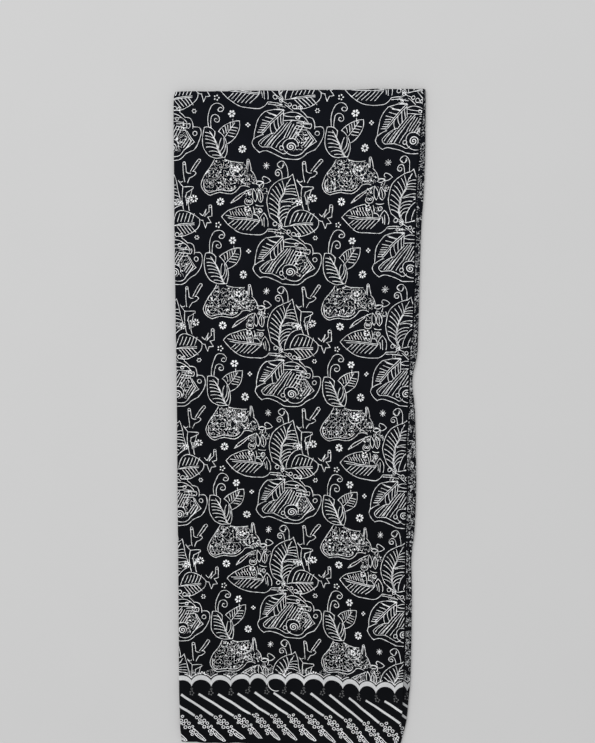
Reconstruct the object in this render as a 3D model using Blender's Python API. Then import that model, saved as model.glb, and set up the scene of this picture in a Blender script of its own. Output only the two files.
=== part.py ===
"""Batik sarong, folded lengthwise into a flat strip of six layers and laid on a surface.

A tube of printed cloth is laid flat, which gives two layers, and folded in three like a letter Z.
Layer 1 is on top and layer 6 rests on the surface. Lengths are in metres, and +Z is up.
"Across" is counted from the left fold and "along" from the bottom edge, as seen from above.
"""

import math

import bmesh
import bpy
from mathutils import Vector

# Driving sizes
LENGTH = 1.050  # along the strip, which is the height of the sarong when worn
WIDTH = 0.3895  # across the folded strip at its widest
WALL = 0.0012  # one layer of cloth
GAP = 0.0003  # between layers
PITCH = WALL + GAP
LAYERS = 6

# Worked out for the folds: a tube's edge turns through one pitch, a letter fold through three
HALF_WALL = WALL / 2
EDGE_RADIUS = PITCH / 2
FOLD_RADIUS = 1.5 * PITCH
NOSE_RADIUS = EDGE_RADIUS + HALF_WALL  # the hidden fold inside each letter fold
FOLD_CENTRE = FOLD_RADIUS + HALF_WALL  # from the outside of a letter fold to its centre
EDGE_CENTRE = EDGE_RADIUS + HALF_WALL  # from the outside of a tube's edge to its centre

# Where the turned-under stretches stop and the hidden layers begin
LEFT_STRETCH = 0.016
RIGHT_STRETCH = 0.014
UNDER_LEFT_INSET = 0.004  # the lower tube edge lies this far inside the left fold

# Mesh fineness
STATIONS = 48
TOP_COLUMNS = 22
FOLD_STEPS = 8
EDGE_STEPS = 5
NOSE_STEPS = 3
GROOVE_DEPTH = 0.008  # how far the gaps between hidden layers run in from the cut edges

# The outline, a row for each place where an edge changes its run
EDGE_COLUMNS = ("along", "left", "top_right", "under_right")
EDGE_ROWS = (
    (0.000, 0.0032, 0.3600, 0.3645),
    (0.024, 0.0010, 0.3634, 0.3697),
    (0.050, 0.0006, 0.3662, 0.3748),
    (0.084, 0.0000, 0.3674, 0.3774),
    (0.118, 0.0000, 0.3676, 0.3799),
    (0.185, 0.0004, 0.3678, 0.3803),
    (0.251, 0.0006, 0.3682, 0.3801),
    (0.317, 0.0008, 0.3674, 0.3783),
    (0.366, 0.0008, 0.3669, 0.3826),
    (0.431, 0.0010, 0.3684, 0.3841),
    (0.495, 0.0012, 0.3662, 0.3825),
    (0.559, 0.0014, 0.3682, 0.3800),
    (0.604, 0.0014, 0.3687, 0.3752),
    (0.653, 0.0012, 0.3690, 0.3829),
    (0.685, 0.0010, 0.3734, 0.3834),
    (0.762, 0.0008, 0.3745, 0.3841),
    (0.838, 0.0006, 0.3749, 0.3852),
    (0.899, 0.0008, 0.3756, 0.3884),
    (0.959, 0.0010, 0.3789, 0.3895),
    (0.989, 0.0010, 0.3808, 0.3893),
    (1.018, 0.0012, 0.3834, 0.3890),
    (1.044, 0.0022, 0.3844, 0.3887),
    (1.050, 0.0048, 0.3838, 0.3882),
)

# The bottom edge of the top layer lifts in a low arch, and the layer below shows under it
ARCH_COLUMNS = ("across", "rise")
ARCH_ROWS = (
    (0.000, 0.0006),
    (0.070, 0.0010),
    (0.096, 0.0065),
    (0.123, 0.0109),
    (0.165, 0.0082),
    (0.210, 0.0016),
    (0.300, 0.0008),
    (0.390, 0.0012),
)

# Soft swells of the top layer, each a rounded mound turned by its heading in degrees
SWELL_COLUMNS = ("across", "along", "heading", "half_length", "half_width", "height")
SWELL_ROWS = (
    (0.070, 0.860, 84, 0.170, 0.046, 0.0009),
    (0.305, 0.760, 97, 0.200, 0.050, 0.0008),
    (0.190, 0.520, 80, 0.230, 0.060, 0.0010),
    (0.075, 0.300, 95, 0.190, 0.044, 0.0008),
    (0.290, 0.230, 88, 0.180, 0.052, 0.0009),
)
SWELL_FADE = 0.020  # the swells die out this far from each side fold

# Cut ends of the hidden layers, as insets from the bottom and the top of the strip
PLY_COLUMNS = ("layer", "bottom_left", "bottom_right", "top_left", "top_right")
PLY_ROWS = (
    (2, 0.0010, 0.0022, 0.0022, 0.0012),
    (3, 0.0026, 0.0008, 0.0010, 0.0030),
    (4, 0.0008, 0.0028, 0.0034, 0.0014),
    (5, 0.0030, 0.0014, 0.0016, 0.0026),
)

PRINTED_COLOUR = (0.070, 0.072, 0.080, 1.0)
INNER_COLOUR = (0.055, 0.057, 0.064, 1.0)
CLOTH_ROUGHNESS = 0.88


def clear_scene():
    for item in list(bpy.data.objects):
        bpy.data.objects.remove(item, do_unlink=True)


def cloth_material(name, colour):
    material = bpy.data.materials.new(name)
    material.use_nodes = True
    shader = material.node_tree.nodes["Principled BSDF"]
    shader.inputs["Base Color"].default_value = colour
    shader.inputs["Roughness"].default_value = CLOTH_ROUGHNESS
    shader.inputs["Metallic"].default_value = 0.0
    material.diffuse_color = colour
    return material


def read_table(rows, columns, name, place):
    """A column's value at a place along the first column, on a curve that never overshoots a row."""
    column = columns.index(name)
    places = [row[0] for row in rows]
    values = [row[column] for row in rows]
    if place <= places[0]:
        return values[0]
    if place >= places[-1]:
        return values[-1]
    k = max(i for i, start in enumerate(places) if start <= place)
    steps = range(len(rows) - 1)
    slopes = [(values[i + 1] - values[i]) / (places[i + 1] - places[i]) for i in steps]

    def tangent(i):
        if i == 0 or i == len(rows) - 1 or slopes[i - 1] * slopes[i] <= 0:
            return 0.0
        return 2 * slopes[i - 1] * slopes[i] / (slopes[i - 1] + slopes[i])

    span = places[k + 1] - places[k]
    u = (place - places[k]) / span
    rise = values[k + 1] - values[k]
    eased = values[k] + rise * u * u * (3 - 2 * u)
    return eased + span * u * (1 - u) * (tangent(k) * (1 - u) - tangent(k + 1) * u)


def edge(name, along):
    return read_table(EDGE_ROWS, EDGE_COLUMNS, name, along)


def arch(across):
    return read_table(ARCH_ROWS, ARCH_COLUMNS, "rise", across)


def swell(across, along):
    """Height that the soft mounds add to the top layer."""
    height = 0.0
    for centre_across, centre_along, heading, half_length, half_width, peak in SWELL_ROWS:
        turn = math.radians(heading)
        ahead = (across - centre_across) * math.cos(turn) + (along - centre_along) * math.sin(turn)
        aside = (along - centre_along) * math.cos(turn) - (across - centre_across) * math.sin(turn)
        height += peak * math.exp(-((ahead / half_length) ** 2) - (aside / half_width) ** 2)
    from_left = across - edge("left", along) - FOLD_CENTRE
    from_right = edge("top_right", along) - EDGE_CENTRE - across
    inward = min(1.0, max(0.0, min(from_left, from_right) / SWELL_FADE))
    return height * inward * inward * (3 - 2 * inward)


def layer_middle(layer):
    """Height of the middle of a layer's wall. Layer 6 rests on the surface."""
    return (LAYERS - layer) * PITCH + HALF_WALL


def stations():
    """Places along the strip that every piece shares, with the floors of the end gaps among them."""
    return [0.0] + spread(GROOVE_DEPTH, LENGTH - GROOVE_DEPTH, STATIONS) + [LENGTH]


def to_part(across, along, height):
    return Vector((across - WIDTH / 2, along - LENGTH / 2, height))


def spread(first, last, steps):
    return [first + (last - first) * i / steps for i in range(steps + 1)]


def straight(first, last, height, up, steps):
    """Points of a flat stretch, each with its outward direction, which is up or down."""
    return [(across, height, 0.0, up) for across in spread(first, last, steps)]


def turn_points(centre, height, radius, first, last, steps):
    """Points round a fold, each with its outward direction. Angles are in degrees."""
    points = []
    for angle in spread(math.radians(first), math.radians(last), steps):
        aside, up = math.cos(angle), math.sin(angle)
        points.append((centre + radius * aside, height + radius * up, aside, up))
    return points


def top_fold_path(along):
    """Layer 1, with its letter fold at the left down to layer 4 and its tube edge down to layer 2."""
    fold = edge("left", along) + FOLD_CENTRE
    tube = edge("top_right", along) - EDGE_CENTRE
    fold_height = (layer_middle(1) + layer_middle(4)) / 2
    tube_height = (layer_middle(1) + layer_middle(2)) / 2
    path = straight(fold + LEFT_STRETCH, fold, layer_middle(4), -1.0, 2)[:-1]
    path += turn_points(fold, fold_height, FOLD_RADIUS, 270, 90, FOLD_STEPS)
    path += straight(fold, tube, layer_middle(1), 1.0, TOP_COLUMNS)[1:-1]
    path += turn_points(tube, tube_height, EDGE_RADIUS, 90, -90, EDGE_STEPS)
    path += straight(tube, tube - RIGHT_STRETCH, layer_middle(2), -1.0, 2)[1:]
    return path


def under_fold_path(along):
    """Layer 6, with its letter fold at the right up to layer 3 and its tube edge up to layer 5."""
    tube = edge("left", along) + UNDER_LEFT_INSET + EDGE_CENTRE
    fold = edge("under_right", along) - FOLD_CENTRE
    step = edge("top_right", along) - EDGE_CENTRE - RIGHT_STRETCH
    fold_height = (layer_middle(3) + layer_middle(6)) / 2
    tube_height = (layer_middle(5) + layer_middle(6)) / 2
    hidden = edge("left", along) + FOLD_CENTRE + LEFT_STRETCH
    path = straight(hidden, tube, layer_middle(5), 1.0, 2)[:-1]
    path += turn_points(tube, tube_height, EDGE_RADIUS, 90, 270, EDGE_STEPS)
    path += straight(tube, fold, layer_middle(6), -1.0, 4)[1:-1]
    path += turn_points(fold, fold_height, FOLD_RADIUS, -90, 90, FOLD_STEPS)
    path += straight(fold, step, layer_middle(3), 1.0, 4)[1:]
    return path


def finish_mesh(name, bm, material):
    bmesh.ops.recalc_face_normals(bm, faces=bm.faces)
    mesh = bpy.data.meshes.new(name)
    bm.to_mesh(mesh)
    bm.free()
    mesh.materials.append(material)
    piece = bpy.data.objects.new(name, mesh)
    bpy.context.scene.collection.objects.link(piece)
    mesh.shade_smooth()
    mesh.set_sharp_from_angle(angle=math.radians(40))
    return piece


def sheet(name, path_at, bottom_rise, height_above, material):
    """A wall of cloth swept along the strip: two skins, half a wall each side of the path."""
    bm = bmesh.new()
    rings = []
    for station in stations():
        outer, inner = [], []
        for across, height, aside, up in path_at(station):
            along = station + bottom_rise(across) * (1 - station / LENGTH)
            height += height_above(across, along, height)
            for skin, side in ((outer, HALF_WALL), (inner, -HALF_WALL)):
                point = to_part(across + side * aside, along, height + side * up)
                skin.append(bm.verts.new(point))
        rings.append(outer + inner[::-1])
    count = len(rings[0])
    for ring, after in zip(rings, rings[1:]):
        for i in range(count):
            j = (i + 1) % count
            bm.faces.new((ring[i], ring[j], after[j], after[i]))
    for ring in (rings[0], rings[-1]):
        for i in range(count // 2 - 1):
            bm.faces.new((ring[i], ring[i + 1], ring[count - 2 - i], ring[count - 1 - i]))
    return finish_mesh(name, bm, material)


def make_top_fold(material):
    def height_above(across, along, height):
        return swell(across, along) if height > layer_middle(3) else 0.0

    return sheet("top_fold", top_fold_path, arch, height_above, material)


def make_under_fold(material):
    def straight_edge(across):
        return 0.0

    def flat(across, along, height):
        return 0.0

    return sheet("under_fold", under_fold_path, straight_edge, flat, material)


def nose(centre, height, first, last, layer):
    """Half of a hidden fold's round side between two angles, with the layer that it belongs to."""
    turned = turn_points(centre, height, NOSE_RADIUS, first, last, NOSE_STEPS)
    return [(across, up, layer) for across, up, _, _ in turned]


def inner_section(along):
    """Outline of the hidden layers, anticlockwise from the left end of layer 5, with each point's layer."""
    left = edge("left", along) + FOLD_CENTRE
    begin = left + LEFT_STRETCH + GAP
    step = edge("top_right", along) - EDGE_CENTRE - RIGHT_STRETCH - GAP
    right = edge("under_right", along) - FOLD_CENTRE
    parting = math.degrees(math.asin(GAP / 2 / NOSE_RADIUS))
    low_nose = (layer_middle(4) + layer_middle(5)) / 2
    high_nose = (layer_middle(2) + layer_middle(3)) / 2

    def bottom(layer):
        return layer_middle(layer) - HALF_WALL

    def top(layer):
        return layer_middle(layer) + HALF_WALL

    outline = [(begin, bottom(5), 5)]
    outline += nose(right, low_nose, -90, -parting, 5)
    outline += nose(right, low_nose, parting, 90, 4)
    outline += [(step, top(4), 4), (step, bottom(3), 3), (step, top(3), 3), (step, bottom(2), 2)]
    for across in spread(step, left, TOP_COLUMNS)[:-1]:
        outline.append((across, top(2) + swell(across, along), 2))
    outline += nose(left, high_nose, 90, 180 - parting, 2)
    outline += nose(left, high_nose, 180 + parting, 270, 3)
    outline += [(begin, bottom(3), 3), (begin, top(4), 4), (begin, bottom(4), 4), (begin, top(5), 5)]
    return outline


def add_ply_end(bm, ring, section, layer, limit, inset_left, inset_right):
    """One hidden layer's cut end, which runs on past the floors of the gaps to its own slanted edge."""
    mine = [i for i, point in enumerate(section) if point[2] == layer]
    far = []
    for i in mine:
        across, height, _ = section[i]
        inset = inset_left + (inset_right - inset_left) * across / WIDTH
        along = limit + math.copysign(inset, LENGTH / 2 - limit)
        far.append(bm.verts.new(to_part(across, along, height)))
    count = len(mine)
    for a in range(count):
        b = (a + 1) % count
        bm.faces.new((ring[mine[a]], ring[mine[b]], far[b], far[a]))
    bm.faces.new(far)


def make_inner_layers(material):
    """The hidden layers as one rounded solid, parted into its four layers at both cut ends."""
    bm = bmesh.new()
    rings = []
    for along in stations()[1:-1]:
        outline = [to_part(across, along, height) for across, height, _ in inner_section(along)]
        rings.append([bm.verts.new(point) for point in outline])
    count = len(rings[0])
    for ring, after in zip(rings, rings[1:]):
        for i in range(count):
            j = (i + 1) % count
            bm.faces.new((ring[i], ring[j], after[j], after[i]))
    for layer, bottom_left, bottom_right, top_left, top_right in PLY_ROWS:
        add_ply_end(bm, rings[0], inner_section(0.0), layer, 0.0, bottom_left, bottom_right)
        add_ply_end(bm, rings[-1], inner_section(LENGTH), layer, LENGTH, top_left, top_right)
    bmesh.ops.holes_fill(bm, edges=[rim for rim in bm.edges if rim.is_boundary])
    return finish_mesh("inner_layers", bm, material)


def main():
    clear_scene()
    make_top_fold(cloth_material("printed_cloth_top", PRINTED_COLOUR))
    make_under_fold(cloth_material("printed_cloth_under", PRINTED_COLOUR))
    make_inner_layers(cloth_material("printed_cloth_inner", INNER_COLOUR))


main()
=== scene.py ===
"""Batik sarong, folded lengthwise in six layers and laid on a pale floor, for a still picture.

Each stretch of the folded tube is a shell of cloth swept along the strip. Its UV map holds the
cloth's own coordinates, so the print runs on round the folds. The print is drawn by nodes, as
strokes, hatching, rings and flowers in millimetres of cloth.
"""

import math

import bpy
import numpy as np
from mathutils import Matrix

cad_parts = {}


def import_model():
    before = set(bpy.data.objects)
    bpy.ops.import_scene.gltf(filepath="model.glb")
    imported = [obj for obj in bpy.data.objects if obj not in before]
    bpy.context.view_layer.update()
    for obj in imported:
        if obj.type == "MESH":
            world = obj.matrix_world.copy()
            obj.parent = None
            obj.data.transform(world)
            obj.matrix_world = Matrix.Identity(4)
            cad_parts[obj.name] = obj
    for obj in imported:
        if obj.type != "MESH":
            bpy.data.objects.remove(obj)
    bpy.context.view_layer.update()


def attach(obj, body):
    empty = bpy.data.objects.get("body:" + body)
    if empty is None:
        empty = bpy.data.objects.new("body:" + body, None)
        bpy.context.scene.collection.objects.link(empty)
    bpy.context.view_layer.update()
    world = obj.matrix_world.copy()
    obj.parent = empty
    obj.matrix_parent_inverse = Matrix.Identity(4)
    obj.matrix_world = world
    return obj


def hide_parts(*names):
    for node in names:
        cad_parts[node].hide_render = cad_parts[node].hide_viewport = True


# Sizes in metres, as in the solids
LENGTH = 1.050
WIDTH = 0.3895
WALL = 0.0012
GAP = 0.0003
PITCH = WALL + GAP
LAYERS = 6
HALF_WALL = WALL / 2
EDGE_RADIUS = PITCH / 2
FOLD_RADIUS = 1.5 * PITCH
FOLD_CENTRE = FOLD_RADIUS + HALF_WALL
EDGE_CENTRE = EDGE_RADIUS + HALF_WALL
LEFT_STRETCH = 0.016
RIGHT_STRETCH = 0.014
UNDER_LEFT_INSET = 0.004

# The outline, a row for each place where an edge changes its run
EDGE_COLUMNS = ("along", "left", "top_right", "under_right")
EDGE_ROWS = (
    (0.000, 0.0032, 0.3600, 0.3645),
    (0.024, 0.0010, 0.3634, 0.3697),
    (0.050, 0.0006, 0.3662, 0.3748),
    (0.084, 0.0000, 0.3674, 0.3774),
    (0.118, 0.0000, 0.3676, 0.3799),
    (0.185, 0.0004, 0.3678, 0.3803),
    (0.251, 0.0006, 0.3682, 0.3801),
    (0.317, 0.0008, 0.3674, 0.3783),
    (0.366, 0.0008, 0.3669, 0.3826),
    (0.431, 0.0010, 0.3684, 0.3841),
    (0.495, 0.0012, 0.3662, 0.3825),
    (0.559, 0.0014, 0.3682, 0.3800),
    (0.604, 0.0014, 0.3687, 0.3752),
    (0.653, 0.0012, 0.3690, 0.3829),
    (0.685, 0.0010, 0.3734, 0.3834),
    (0.762, 0.0008, 0.3745, 0.3841),
    (0.838, 0.0006, 0.3749, 0.3852),
    (0.899, 0.0008, 0.3756, 0.3884),
    (0.959, 0.0010, 0.3789, 0.3895),
    (0.989, 0.0010, 0.3808, 0.3893),
    (1.018, 0.0012, 0.3834, 0.3890),
    (1.044, 0.0022, 0.3844, 0.3887),
    (1.050, 0.0048, 0.3838, 0.3882),
)

# The bottom edge of the top layer lifts in a low arch
ARCH_COLUMNS = ("across", "rise")
ARCH_ROWS = (
    (0.000, 0.0006),
    (0.070, 0.0010),
    (0.096, 0.0065),
    (0.123, 0.0109),
    (0.165, 0.0082),
    (0.210, 0.0016),
    (0.300, 0.0008),
    (0.390, 0.0012),
)

# Soft swells of the top layer, then finer creases in it. Each row has across, along, heading in
# degrees, half length, half width and height, which is below 0 for a trough
SWELL_ROWS = (
    (0.070, 0.860, 84, 0.170, 0.046, 0.0009),
    (0.305, 0.760, 97, 0.200, 0.050, 0.0008),
    (0.190, 0.520, 80, 0.230, 0.060, 0.0010),
    (0.075, 0.300, 95, 0.190, 0.044, 0.0008),
    (0.290, 0.230, 88, 0.180, 0.052, 0.0009),
)
CREASE_ROWS = (
    (0.128, 0.030, 72, 0.060, 0.010, 0.0007),
    (0.178, 0.022, 108, 0.045, 0.008, 0.0006),
    (0.248, 0.935, 62, 0.090, 0.007, 0.0004),
    (0.118, 0.742, 101, 0.120, 0.009, 0.0004),
    (0.322, 0.668, 84, 0.070, 0.006, 0.0005),
    (0.350, 0.598, 74, 0.050, 0.007, 0.0006),
    (0.215, 0.598, 4, 0.150, 0.010, 0.0004),
    (0.245, 0.362, 93, 0.110, 0.008, 0.0004),
    (0.060, 0.455, 79, 0.080, 0.007, 0.0003),
    (0.148, 0.205, 12, 0.120, 0.009, 0.0003),
    (0.300, 0.112, 98, 0.060, 0.009, 0.0005),
    (0.205, 0.812, 86, 0.100, 0.006, -0.0002),
    (0.090, 0.575, 68, 0.090, 0.006, -0.0002),
    (0.335, 0.340, 102, 0.080, 0.006, -0.0002),
)
SWELL_FADE = 0.020  # the swells and creases die out this far from each side fold

# How far the border has crept, by place across the strip, in millimetres. The chains add their own
DRIFT_COLUMNS = ("across", "up", "aside", "chains_aside")
DRIFT_ROWS = (
    (0, -3.0, -4.0, -1.0),
    (22, -1.5, -3.4, -1.2),
    (54, -0.5, -1.7, -2.0),
    (86, 0.0, 0.0, -1.2),
    (118, 4.6, 1.2, -0.2),
    (146, 4.2, -1.9, 0.5),
    (190, 5.8, -1.9, -4.0),
    (239, 5.2, -0.2, -4.8),
    (270, 2.0, 0.2, -3.8),
    (297, -2.2, -3.9, 0.5),
    (324, -3.9, -6.7, 1.6),
    (354, -3.6, -7.4, 1.6),
    (390, -3.0, -7.0, 1.6),
)

# Each stripe's number, and where it lies across the strip at the two heights of STRIPE_READ
STRIPE_READ = (82.0, 50.0)
STRIPE_ROWS = (
    (-5, -95, -46),
    (-4, -62, -13),
    (-3, -29, 20),
    (-2, 4, 53),
    (-1, 36, 88),
    (0, 70, 122),
    (1, 105, 153),
    (2, 137, 186),
    (3, 168, 215),
    (4, 198, 244),
    (5, 229, 271),
    (6, 258, 297),
    (7, 284, 322),
    (8, 307, 356),
    (9, 337, 387),
    (10, 368, 418),
    (11, 399, 449),
    (12, 430, 480),
)
DRIFT_FADE = (200, 660)  # the field beside the border creeps with it, less and less up the strip
# Heights between which the chains' creep gives way to the stripes', and the stripes' to the band's
CHAINS_TO_STRIPES, STRIPES_TO_BAND = (44, 49), (87, 95)

# How far the field's print has slid, by place across. The aside columns are read at SLIDE_ALONG
SLIDE_ASIDES = ("at_foot", "at_shin", "at_knee", "at_thigh", "at_hip", "at_waist")
SLIDE_COLUMNS = ("across", "up", "more_up_at_top", *SLIDE_ASIDES)
SLIDE_ALONG = (155, 335, 520, 700, 860, 1010)
SLIDE_MIDDLE, SLIDE_REACH = 580, 430  # more_up_at_top is none at the middle and whole this far above it
SLIDE_ROWS = (
    (37, -2.0, 0.2, 8.6, 6.9, 5.4, 3.0, 1.4, 0.5),
    (130, -1.3, 0.0, 8.4, 6.6, 5.0, 2.6, 1.1, 1.0),
    (179, -1.0, -0.8, 7.4, 4.3, 3.4, 1.4, 0.5, 1.7),
    (221, -2.8, -0.3, 8.0, 5.9, 4.7, 4.2, 4.0, 6.3),
    (266, -2.5, 0.0, 6.5, 5.5, 4.3, 4.0, 4.7, 7.5),
    (309, 0.0, 0.2, 1.4, 1.8, 2.9, 3.4, 3.7, 7.5),
    (363, 2.0, 3.7, 1.4, -1.0, -1.3, 2.4, 3.7, 5.6),
)

# The print's repeat, and the window that a stroke is drawn in, all in millimetres of cloth
REPEAT = (183.6, 192.5)
SCALLOP = 30.6
FAR = 4000.0
PANEL, PANEL_HALF = 1136.0, 16.5  # the stippled head panel, from its middle across the cloth
STRIPE_LEAN = 1.50  # across for each millimetre down a stripe
STRIPE_START = 68.8
STRIPE_TOP = 84.0
STRIPE_END = 47.0
STRIPE_LIFT = 1.0  # both ends of every stripe are drawn this much higher
STRIPE_HALF = 3.25  # half a stripe's width, measured across
VALLEY = 86.0  # a valley between two scallops, and crests lie half a scallop from it
BAND_OUTER, OUTER_RADIUS = 99.9, 17.5  # height of the middle, and radius, of the band's outer arc
BAND_INNER, INNER_RADIUS = 94.05, 15.75
BAND_FOOT = 95.3  # the band is drawn above this height
FIELD_FOOT, FIELD_GAP = 107.2, 19.0  # the field stops at this height, and this far from the arc's middle
# The cloth's own coordinate at the left edge, for the layers below the top one
LAYER_2, LAYER_3, LAYER_4 = 0.7466, 0.7445, -0.0098
# The under layer's print is slid so that the head panel begins at the top layer's edge, and its bare
# painted-shadow strip lies along that edge.
PRINT_EDGE = 0.375  # the under layer's print is set out for a top layer with its right edge here
HEM = (14, 22)  # the hidden layers' print dies out between these heights, downwards
HEM_SHIFT = 0.04  # below them it is read this much lower, in metres, where the cloth has no print
# The ground is lighter and bluer towards the end away from the border: painted sheen.
GROUNDS_WITH_PAINTED_SHEEN = ((0.0034, 0.0038, 0.0049), (0.0050, 0.0059, 0.0090))  # at the border, at the other end
CAMERA = (0.265, 0.732, 1.255)  # across and along the strip, and above the top layer
CAMERA_TILT = (-5.15, 3.22, 0.15)
READ = {}  # tables already read at many places


def read_table(rows, columns, name, place):
    """A column's value at a place along the first column, on a curve that never overshoots a row."""
    column = columns.index(name)
    places = [row[0] for row in rows]
    values = [row[column] for row in rows]
    if place <= places[0]:
        return values[0]
    if place >= places[-1]:
        return values[-1]
    k = max(i for i, start in enumerate(places) if start <= place)
    steps = range(len(rows) - 1)
    slopes = [(values[i + 1] - values[i]) / (places[i + 1] - places[i]) for i in steps]

    def tangent(i):
        if i == 0 or i == len(rows) - 1 or slopes[i - 1] * slopes[i] <= 0:
            return 0.0
        return 2 * slopes[i - 1] * slopes[i] / (slopes[i - 1] + slopes[i])

    span = places[k + 1] - places[k]
    u = (place - places[k]) / span
    rise = values[k + 1] - values[k]
    eased = values[k] + rise * u * u * (3 - 2 * u)
    return eased + span * u * (1 - u) * (tangent(k) * (1 - u) - tangent(k + 1) * u)


def edge(name, along):
    return read_table(EDGE_ROWS, EDGE_COLUMNS, name, along)


def many(rows, columns, name, places):
    """The same table read at an array of places, from 400 of them read once."""
    grid = np.linspace(rows[0][0], rows[-1][0], 400)
    key = (columns, name)
    if key not in READ:
        READ[key] = np.array([read_table(rows, columns, name, place) for place in grid])
    return np.interp(places, grid, READ[key])


def arch(across):
    return many(ARCH_ROWS, ARCH_COLUMNS, "rise", across)


def mounds(rows, across, along, station):
    """Height that the mounds add, at arrays of places, fading out towards both side folds."""
    height = 0.0
    for centre_across, centre_along, heading, half_length, half_width, peak in rows:
        turn = math.radians(heading)
        ahead = (across - centre_across) * math.cos(turn) + (along - centre_along) * math.sin(turn)
        aside = (along - centre_along) * math.cos(turn) - (across - centre_across) * math.sin(turn)
        height = height + peak * np.exp(-((ahead / half_length) ** 2) - (aside / half_width) ** 2)
    from_left = across - edge("left", station) - FOLD_CENTRE
    from_right = edge("top_right", station) - EDGE_CENTRE - across
    inward = np.clip(np.minimum(from_left, from_right) / SWELL_FADE, 0.0, 1.0)
    return height * inward * inward * (3 - 2 * inward)


def layer_middle(layer):
    return (LAYERS - layer) * PITCH + HALF_WALL


def spread(first, last, steps):
    return [first + (last - first) * i / steps for i in range(steps + 1)]


def straight(first, last, height, up, steps):
    """A flat stretch: points across the strip, each with its height and outward direction."""
    return [(across, height, 0.0, up) for across in spread(first, last, steps)]


def turned(centre, height, radius, first, last, steps):
    """Points round a fold. Angles are in degrees."""
    points = []
    for angle in spread(math.radians(first), math.radians(last), steps):
        aside, up = math.cos(angle), math.sin(angle)
        points.append((centre + radius * aside, height + radius * up, aside, up))
    return points


def top_path(along):
    fold = edge("left", along) + FOLD_CENTRE
    tube = edge("top_right", along) - EDGE_CENTRE
    path = straight(fold + LEFT_STRETCH, fold, layer_middle(4), -1.0, 4)[:-1]
    path += turned(fold, (layer_middle(1) + layer_middle(4)) / 2, FOLD_RADIUS, 270, 90, 14)
    path += straight(fold, tube, layer_middle(1), 1.0, 96)[1:-1]
    path += turned(tube, (layer_middle(1) + layer_middle(2)) / 2, EDGE_RADIUS, 90, -90, 8)
    path += straight(tube, tube - RIGHT_STRETCH, layer_middle(2), -1.0, 4)[1:]
    return path


def under_path(along):
    tube = edge("left", along) + UNDER_LEFT_INSET + EDGE_CENTRE
    fold = edge("under_right", along) - FOLD_CENTRE
    step = edge("top_right", along) - EDGE_CENTRE - RIGHT_STRETCH
    hidden = edge("left", along) + FOLD_CENTRE + LEFT_STRETCH
    path = straight(hidden, tube, layer_middle(5), 1.0, 4)[:-1]
    path += turned(tube, (layer_middle(5) + layer_middle(6)) / 2, EDGE_RADIUS, 90, 270, 8)
    path += straight(tube, fold, layer_middle(6), -1.0, 24)[1:-1]
    path += turned(fold, (layer_middle(3) + layer_middle(6)) / 2, FOLD_RADIUS, -90, 90, 14)
    path += straight(fold, step, layer_middle(3), 1.0, 8)[1:]
    return path


def upper_inner_path(along):
    """Layer 2 from the end of the tube's edge to its hidden fold, then layer 3 back again."""
    left = edge("left", along) + FOLD_CENTRE
    step = edge("top_right", along) - EDGE_CENTRE - RIGHT_STRETCH - GAP
    path = straight(step, left, layer_middle(2), 1.0, 48)[:-1]
    path += turned(left, (layer_middle(2) + layer_middle(3)) / 2, EDGE_RADIUS, 90, 270, 8)
    path += straight(left, step, layer_middle(3), -1.0, 24)[1:]
    return path


def lower_inner_path(along):
    """Layer 4 from the end of the letter fold to its hidden fold, then layer 5 back again."""
    begin = edge("left", along) + FOLD_CENTRE + LEFT_STRETCH + GAP
    right = edge("under_right", along) - FOLD_CENTRE
    path = straight(begin, right, layer_middle(4), 1.0, 24)[:-1]
    path += turned(right, (layer_middle(4) + layer_middle(5)) / 2, EDGE_RADIUS, 90, -90, 8)
    path += straight(right, begin, layer_middle(5), -1.0, 24)[1:]
    return path


def eased(value, start, end):
    t = np.clip((value - start) / (end - start), 0, 1)
    return t * t * (3 - 2 * t)


def stripe_number(x, y):
    """Which stripe lies at a place, with parts of one for the places between two stripes."""
    upper, lower = STRIPE_READ
    share = (upper - y) / (upper - lower)
    places = [above + share * (below - above) for _, above, below in STRIPE_ROWS]
    steps = (np.clip((x - here) / (there - here), 0, 1) for here, there in zip(places, places[1:]))
    return STRIPE_ROWS[0][0] + sum(steps)


def border_drift(across, along):
    """How far the border has moved aside and up, in metres."""
    x, y = across * 1000, along * 1000
    up, band, chains = (many(DRIFT_ROWS, DRIFT_COLUMNS, name, x) for name in DRIFT_COLUMNS[1:])
    stripes = x - STRIPE_START - SCALLOP * stripe_number(x, y) - (STRIPE_TOP - y + up) * STRIPE_LEAN
    lower = band + chains + (stripes - band - chains) * eased(y - up, *CHAINS_TO_STRIPES)
    return (lower + (band - lower) * eased(y - up, *STRIPES_TO_BAND)) / 1000, up / 1000


def field_slide(across, along):
    """How far the field's print has moved aside and up, in metres."""
    x, y = across * 1000, along * 1000
    asides = [many(SLIDE_ROWS, SLIDE_COLUMNS, name, x) for name in SLIDE_ASIDES]
    place = np.interp(y, SLIDE_ALONG, range(len(SLIDE_ALONG)))
    aside = sum(value * np.clip(1 - abs(place - k), 0, 1) for k, value in enumerate(asides))
    up, more = (many(SLIDE_ROWS, SLIDE_COLUMNS, name, x) for name in SLIDE_COLUMNS[1:3])
    crept = many(DRIFT_ROWS, DRIFT_COLUMNS, "up", x) * (1 - eased(y, *DRIFT_FADE))
    return aside / 1000, (up + more * (y - SLIDE_MIDDLE) / SLIDE_REACH + crept) / 1000


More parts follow.
